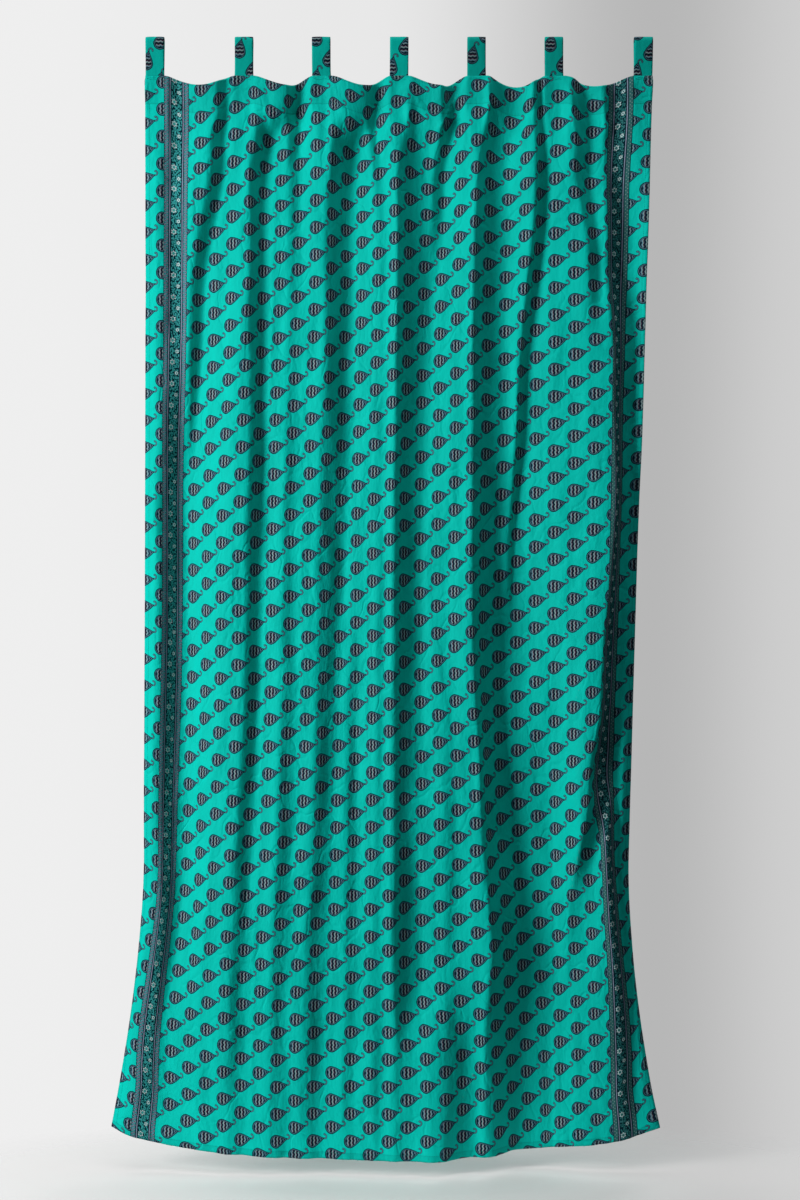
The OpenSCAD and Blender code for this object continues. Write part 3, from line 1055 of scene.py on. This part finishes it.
class CURTAIN_OT_facing(bpy.types.Operator):
    """Sew the facing behind the top edge"""

    bl_idname = "curtain.facing"
    bl_label = "Heading facing"

    def execute(self, context):
        cloth = context.scene.curtain_cloth
        form = hang()
        vs = np.linspace(0.0, HEADING, 7)
        nearest = np.abs(form.us[:, None] - form.tab_us[None, :]).min(axis=1)
        at_tab = 1 - smooth((nearest - TAB_WIDTH / 2) / 0.012)
        # It stands off the panel where a tab's tails lie between, and closes in at its edges.
        tails = (3.4 - 2.5 * (1 - at_tab)) * MM
        seam = 0.9 * MM
        closing = np.array([0.35, 0.85, 1.0, 1.0, 0.8, 0.4, 0.0])
        back = seam + (tails[None, :] - seam) * np.where(vs < 0.02, 1.0, closing)[:, None]
        face = shared(hem_cloth)
        piece = cloth_strip("heading_facing_cloth", form.us, vs, back, cloth.thickness, face, face)
        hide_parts("heading_facing")
        gathers(piece)
        return {"FINISHED"}


class CURTAIN_OT_hems(bpy.types.Operator):
    """Turn back the bottom hem and the two side hems"""

    bl_idname = "curtain.hems"
    bl_label = "Hems"

    def execute(self, context):
        cloth, sewing = context.scene.curtain_cloth, context.scene.curtain_sewing
        form = hang()
        face = shared(hem_cloth)
        hem_top = cloth.length - sewing.bottom_hem
        side_rows = between(form.vs, HEADING + MM, hem_top - MM)
        left_us = np.linspace(0.0, sewing.side_hem, 4)
        plans = [
            ("bottom_hem", form.us, np.linspace(hem_top, cloth.length, 5)),
            ("side_hem_left", left_us, side_rows),
            ("side_hem_right", cloth.width - left_us[::-1], side_rows),
        ]
        for node, us, vs in plans:
            back = cloth.thickness + 0.25 * MM
            piece = cloth_strip(f"{node}_fold", us, vs, back, sewing.hem_thickness, face, face)
            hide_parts(node)
            gathers(piece)
        return {"FINISHED"}


class CURTAIN_OT_seams(bpy.types.Operator):
    """Stitch the heading and the hems"""

    bl_idname = "curtain.seams"
    bl_label = "Stitching"

    def execute(self, context):
        cloth, sewing = context.scene.curtain_cloth, context.scene.curtain_sewing
        form = hang()
        out = 0.15 * MM
        ends = 2 * MM
        across = between(form.us, ends, cloth.width - ends)
        hem_top = cloth.length - sewing.bottom_hem
        down = between(form.vs, HEADING + MM, hem_top - MM)
        side = sewing.side_hem - 1.5 * MM
        rows = {
            "heading_stitch_upper": (across, np.full_like(across, 3 * MM)),
            "heading_stitch_lower": (across, np.full_like(across, HEADING - 1.5 * MM)),
            "bottom_hem_stitch": (across, np.full_like(across, hem_top + 1.5 * MM)),
            "side_stitch_left": (np.full_like(down, side), down),
            "side_stitch_right": (np.full_like(down, cloth.width - side), down),
        }
        for node, (u, v) in rows.items():
            piece = stitch_row(node.replace("stitch", "stitches"), form.at(u, v, out))
            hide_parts(node)
            gathers(piece)
        return {"FINISHED"}


def tab_path(number):
    """The line of a tab seen along the pole, as (y, z) points from the end of its front tail, up
    over the pole and down to the end of its back tail."""
    radius = POLE_RADIUS + 0.75 * MM
    meet = TOP_EDGE + 4 * MM
    touch = math.asin(radius / -meet)
    low = (-0.65 * MM, meet)
    front = [(low[0], TAIL_END + (meet - TAIL_END) * n / 6) for n in range(6)]
    start = (-radius * math.cos(touch), -radius * math.sin(touch))
    sway = 0.8 * MM * math.sin(2.1 * number)
    for n in range(12):
        t = n / 12
        bow = math.sin(math.pi * t)
        front.append((low[0] + (start[0] - low[0]) * t + sway * bow, low[1] + (start[1] - low[1]) * t))
    first, last = math.pi + touch, -touch
    angles = [first + (last - first) * n / 24 for n in range(25)]
    arc = [(radius * math.cos(angle), radius * math.sin(angle)) for angle in angles]
    back = [(-y + (0.6 * sway if n > 6 else 0.0), z) for n, (y, z) in enumerate(front)]
    return np.array(front + arc + back[::-1])


class CURTAIN_OT_tabs(bpy.types.Operator):
    """Sew the seven tabs that hang on the pole"""

    bl_idname = "curtain.tabs"
    bl_label = "Tabs"

    def execute(self, context):
        thickness = 1.1 * MM
        for k in range(TABS):
            path = tab_path(k)
            run = run_along(*path.T)
            across = np.linspace(-1.0, 1.0, 13)
            tangent = np.gradient(path, axis=0)
            tangent /= np.linalg.norm(tangent, axis=1, keepdims=True)
            outward = np.stack([tangent[:, 1], -tangent[:, 0]], axis=1) * -1
            points = np.zeros((len(path), len(across), 3))
            leg = np.sin(np.clip((run - 0.018) / (run[-1] - 0.036), 0, 1) * math.pi) ** 0.5
            for i, share in enumerate(across):
                wave = 0.35 * MM * noise_line(run, share, k) * leg
                curl = 0.25 * MM * abs(share) ** 3 * leg
                lift = wave - curl
                narrow = 1 - 0.035 * leg * (0.6 + 0.4 * math.sin(1.7 * k))
                lean = 0.6 * MM * math.sin(2.3 * k + 0.4) * leg
                points[:, i, 0] = TAB_X[k] + share * (TAB_WIDTH / 2 - 0.3 * MM) * narrow + lean
                points[:, i, 1] = path[:, 0] + outward[:, 0] * lift
                points[:, i, 2] = path[:, 1] + outward[:, 1] * lift
            u, w = np.meshgrid(TAB_WIDTH / 2 * (across + 1), run)
            face = shared(tab_cloth, k + 1)
            uv = np.stack([u, w], axis=2)
            piece = tab_piece(f"tab_cloth_{k + 1}", points, outward, uv, thickness, face)
            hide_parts(f"tab_{k + 1}")
            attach(piece, "curtain" if k == 0 else f"runner_{k + 1}")
        return {"FINISHED"}


def noise_line(run, share, seed):
    """Small waves along a tab."""
    return np.array([noise.noise((d / 0.03, share * 1.4, 40.0 + seed)) for d in run])


def tab_piece(name, points, outward, uv, thickness, face):
    """A flattened tube of cloth along the tab's line, with soft folded edges."""
    rows, columns = points.shape[:2]
    offset = np.zeros_like(points)
    offset[:, :, 1] = outward[:, None, 0]
    offset[:, :, 2] = outward[:, None, 1]
    across = np.linspace(-1.0, 1.0, columns)
    half = thickness / 2 * np.sqrt(1 - np.clip(np.abs(across), 0, 0.985) ** 8)
    outer = points + offset * half[None, :, None]
    inner = points - offset * half[None, :, None]
    ring = np.concatenate([outer, inner[:, ::-1]], axis=1)
    ring_uv = np.concatenate([uv, uv[:, ::-1]], axis=1)
    size = ring.shape[1]
    index = np.arange(rows * size).reshape(rows, size)
    turned = np.roll(index, -1, axis=1)
    quads = np.stack([index[:-1], turned[:-1], turned[1:], index[1:]], axis=2).reshape(-1, 4)
    faces = [tuple(q) for q in quads.tolist()]
    faces += [tuple(index[0, ::-1].tolist()), tuple(index[-1].tolist())]
    return cloth_object(name, ring, ring_uv, faces, [face])


class CURTAIN_OT_tacks(bpy.types.Operator):
    """Bar-tack the tails of each tab into the heading"""

    bl_idname = "curtain.tacks"
    bl_label = "Tab tacks"

    def execute(self, context):
        form = hang()
        bars = 26
        for k in range(TABS):
            low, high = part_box(f"tab_tack_{k + 1}")
            half = (high[0] - low[0]) / 2
            u = form.tab_us[k] + np.linspace(-half, half, bars)
            level = TOP_EDGE - (low[2] + high[2]) / 2
            v = level + 0.9 * MM * np.where(np.arange(bars) % 2, 1.0, -1.0)
            piece = stitch_row(f"tab_tack_stitches_{k + 1}", form.at(u, v, 0.15 * MM))
            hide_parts(f"tab_tack_{k + 1}")
            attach(piece, "curtain" if k == 0 else f"runner_{k + 1}")
        return {"FINISHED"}


class CURTAIN_OT_declare(bpy.types.Operator):
    """A step that sets nothing"""

    bl_idname = "curtain.declare"
    bl_label = "Cut sizes"

    def execute(self, context):
        return {"FINISHED"}


class CURTAIN_OT_studio(bpy.types.Operator):
    """Set up the floor, the lights and the camera"""

    bl_idname = "curtain.studio"
    bl_label = "Studio"

    def execute(self, context):
        scene = context.scene
        studio = scene.curtain_studio
        low, high = CAD_BOX
        centre = Vector(((low[0] + high[0]) / 2, 0.0, (low[2] + high[2]) / 2))
        self.camera(scene, studio)
        self.world(scene, studio)
        self.floor(low[2] - 0.03)
        above, below = Vector((0.0, -0.6, 2.4)), Vector((0.0, -0.6, 0.0))
        self.area("overhead light", above, below, 5.0, 4.0, studio.overhead_power)
        key_place = centre + Vector((-2.92, -1.88, 0.30))
        key = self.area("key light", key_place, centre, 1.3, 2.2, studio.key_power)
        key.color = (1.0, 0.985, 0.96)
        self.area("rear light", centre + Vector((1.6, 3.0, 0.6)), centre, 1.6, 2.2, studio.rear_power)
        return {"FINISHED"}

    def camera(self, scene, studio):
        data = bpy.data.cameras.new("camera")
        data.lens = studio.focal_length
        data.sensor_width = 36.0
        camera = link(bpy.data.objects.new("camera", data))
        camera.location = (0.002, -studio.camera_distance, -1.116)
        camera.rotation_euler = (math.pi / 2, 0.0, 0.0)
        scene.camera = camera
        scene.view_settings.view_transform = "Standard"

    def world(self, scene, studio):
        """A backdrop that only the camera sees, painted lighter on the left and with a painted shadow
        beside the curtain's right edge, and an even light from all round.
        """
        scene.world = bpy.data.worlds.new("studio")
        scene.world.use_nodes = True
        s = Nodes(scene.world.node_tree)
        sideways = s.part(s.node("ShaderNodeTexCoord").out("Generated"), "X")
        across = s.node("ShaderNodeMapRange", {"clamp": True}, sideways, -0.25, 0.30, 0.0, 1.0).out(0)
        # Painted shadow: the backdrop darkens towards the curtain's right edge, where the curtain's
        # shadow falls, and lightens again beyond it.
        shares = [(0.12, 1.0), (0.42, 0.94), (0.68, studio.backdrop_right), (0.82, 0.72), (1.0, 0.80)]
        stops = [(at, grey(studio.backdrop * share)) for at, share in shares]
        seen = s.node("ShaderNodeBackground", None, s.ramp(across, stops, "EASE")).out(0)
        fill = s.node("ShaderNodeBackground", None, (0.96, 0.98, 1.0, 1.0), studio.fill).out(0)
        camera_ray = s.node("ShaderNodeLightPath").out("Is Camera Ray")
        mixed = s.node("ShaderNodeMixShader", None, camera_ray, fill, seen).out(0)
        s.node("ShaderNodeOutputWorld", None, mixed)

    def floor(self, level):
        """A floor that fades into the backdrop."""
        mesh = bpy.data.meshes.new("floor")
        half, behind = 6.0, 0.5
        front = [(-half, -half, level), (half, -half, level)]
        corners = front + [(half, behind, level), (-half, behind, level)]
        mesh.from_pydata(corners, [], [(0, 1, 2, 3)])
        s = Shader("studio floor")
        place = s.node("ShaderNodeTexCoord").out("Object")
        mottle = s.noise(place, 3.0, 4.0)
        colour = s.ramp(mottle, [(0.3, grey(0.86)), (0.7, grey(0.90))])
        across, away = s.part(place, "X") / 1.15, s.part(place, "Y") / 0.46
        shown = (across * across + away * away).root().below(0.62, 0.70)
        mesh.materials.append(s.finish(colour, 0.8, mottle, 0.1, alpha=shown))
        link(bpy.data.objects.new("floor", mesh))

    def area(self, name, place, target, width, height, energy):
        """An area light at place, turned towards target."""
        data = bpy.data.lights.new(name, "AREA")
        data.shape = "RECTANGLE"
        data.size, data.size_y = width, height
        data.energy = energy
        light = link(bpy.data.objects.new(name, data))
        light.location = place
        light.rotation_euler = (target - place).to_track_quat("-Z", "Y").to_euler()
        return data


class CURTAIN_PT_sidebar(bpy.types.Panel):
    """Lists the steps that make the curtain"""

    bl_idname = "CURTAIN_PT_sidebar"
    bl_label = "Curtain"
    bl_space_type = "VIEW_3D"
    bl_region_type = "UI"
    bl_category = "Curtain"

    def draw(self, context):
        for operator in STEPS:
            self.layout.operator(operator.bl_idname)


STEPS = [
    CURTAIN_OT_studio,
    CURTAIN_OT_panel,
    CURTAIN_OT_facing,
    CURTAIN_OT_hems,
    CURTAIN_OT_tabs,
    CURTAIN_OT_seams,
    CURTAIN_OT_tacks,
    CURTAIN_OT_declare,
]
SETTINGS = {
    "curtain_cloth": ClothSettings,
    "curtain_print": PrintSettings,
    "curtain_sewing": SewingSettings,
    "curtain_studio": StudioSettings,
}


def register():
    for group in SETTINGS.values():
        bpy.utils.register_class(group)
    for name, group in SETTINGS.items():
        setattr(bpy.types.Scene, name, PointerProperty(type=group))
    for cls in [*STEPS, CURTAIN_PT_sidebar]:
        bpy.utils.register_class(cls)


def unregister():
    for cls in [CURTAIN_PT_sidebar, *reversed(STEPS)]:
        bpy.utils.unregister_class(cls)
    for name, group in SETTINGS.items():
        delattr(bpy.types.Scene, name)
        bpy.utils.unregister_class(group)


def main():
    register()
    for step in STEPS:
        family, name = step.bl_idname.split(".")
        getattr(getattr(bpy.ops, family), name)()
    bpy.context.view_layer.update()


if __name__ == "__main__":
    main()
